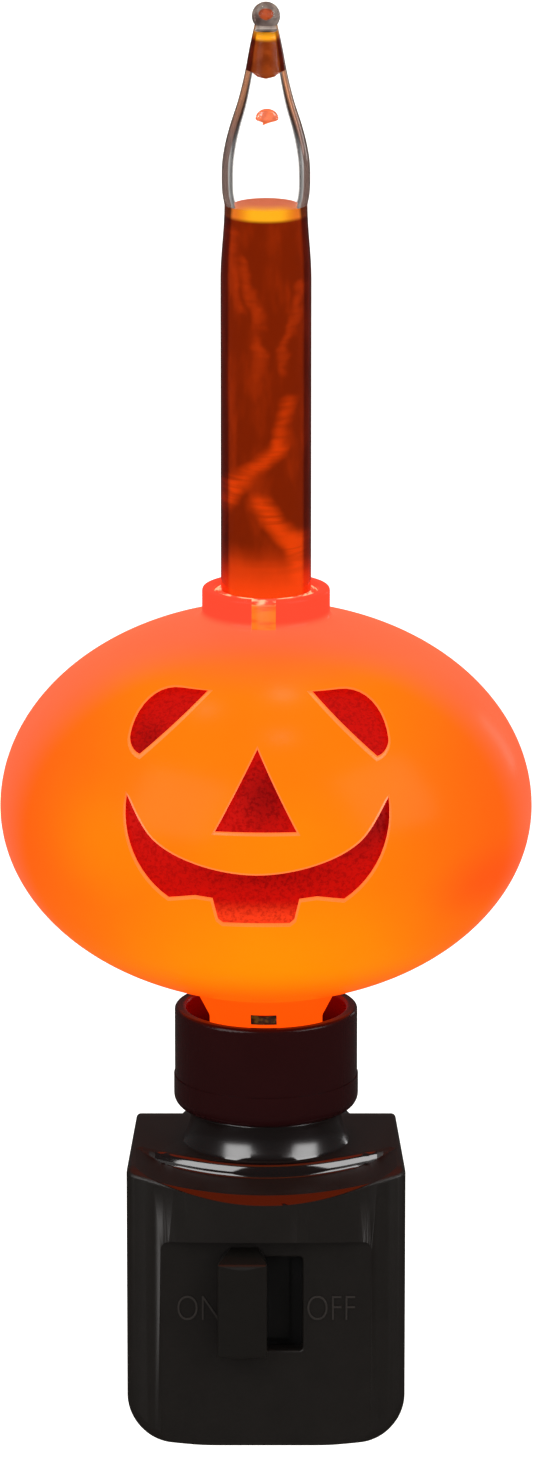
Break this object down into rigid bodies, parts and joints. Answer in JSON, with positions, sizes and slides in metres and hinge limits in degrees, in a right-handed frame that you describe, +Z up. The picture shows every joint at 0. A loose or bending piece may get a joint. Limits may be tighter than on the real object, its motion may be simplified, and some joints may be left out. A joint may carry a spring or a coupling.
{
  "type": "night light",
  "caption": "Plug-in night light with a screw-in bubble lamp: a glass bubble tube on an orange pumpkin globe, over a bowed housing with a slide switch and a swivel plug.",
  "frame": {"origin": "middle of the plug's flat wall face, half way between the two blades", "axes": "+Y into the wall along the blades, +Z up along the lamp, +X to the right as seen from the front"},
  "size_m": [0.0574, 0.0754, 0.1571],
  "materials": {
    "housing_plastic": "black, satin",
    "cup_plastic": "very dark brown, gloss",
    "phenolic": "moulded phenolic",
    "knob_plastic": "black, satin",
    "slider_plastic": "dark brown",
    "steel": "bright",
    "plated_brass": "nickel plated",
    "brass": "spring brass",
    "black_glass": "opaque glass",
    "solder": "soldered tip",
    "bulb_glass": "clear",
    "tube_glass": "clear",
    "globe_plastic": "translucent orange, lit from inside",
    "silicone": "soft",
    "liquid": "dark amber liquid"
  },
  "bodies": {
    "plug": {"plug_body": "housing_plastic", "plug_retaining_ring": "steel", "plug_contact_stud": "brass", "plug_contact_ring": "brass", "blade_left": "plated_brass", "blade_right": "plated_brass"},
    "housing": {"housing_shell": "housing_plastic", "housing_back_cover": "housing_plastic", "socket_cup": "cup_plastic", "socket_insulator": "phenolic", "socket_screw_shell": "brass", "socket_centre_contact": "brass", "lamp_strip": "brass", "line_strip": "brass", "neutral_strip": "brass"},
    "switch": {"switch_slider": "slider_plastic", "switch_knob": "knob_plastic", "switch_bridge": "brass"},
    "lamp_foot": {"lamp_centre_contact": "solder", "lamp_insulator": "black_glass"},
    "lamp": {"lamp_screw_shell": "plated_brass", "lamp_core": "phenolic", "bulb_envelope": "bulb_glass", "bulb_stem": "bulb_glass", "bulb_lead_left": "steel", "bulb_lead_right": "steel", "bulb_filament": "steel", "globe_front": "globe_plastic", "globe_back": "globe_plastic", "tube_grip_ring": "silicone", "bubble_tube": "tube_glass", "bubble_liquid": "liquid"}
  },
  "joints": [
    {"name": "plug_swivel", "type": "hinge", "parent": "plug", "child": "housing", "pos_m": [0, 0, 0], "axis": [0, 1, 0], "range_deg": [0, 90]},
    {"name": "switch_slide", "type": "slide", "parent": "housing", "child": "switch", "axis": [1, 0, 0], "range_m": [0, 0.00405]},
    {"name": "lamp_lift", "type": "slide", "parent": "housing", "child": "lamp_foot", "axis": [0, 0, 1], "range_m": [0, 0.0102]},
    {"name": "lamp_turn", "type": "hinge", "parent": "lamp_foot", "child": "lamp", "pos_m": [0, -0.03, 0], "axis": [0, 0, 1], "range_deg": [0, 1440]}
  ],
  "couplings": [
    {"joint": "lamp_lift", "follows": "lamp_turn", "m_per_rad": 0.00040425}
  ]
}
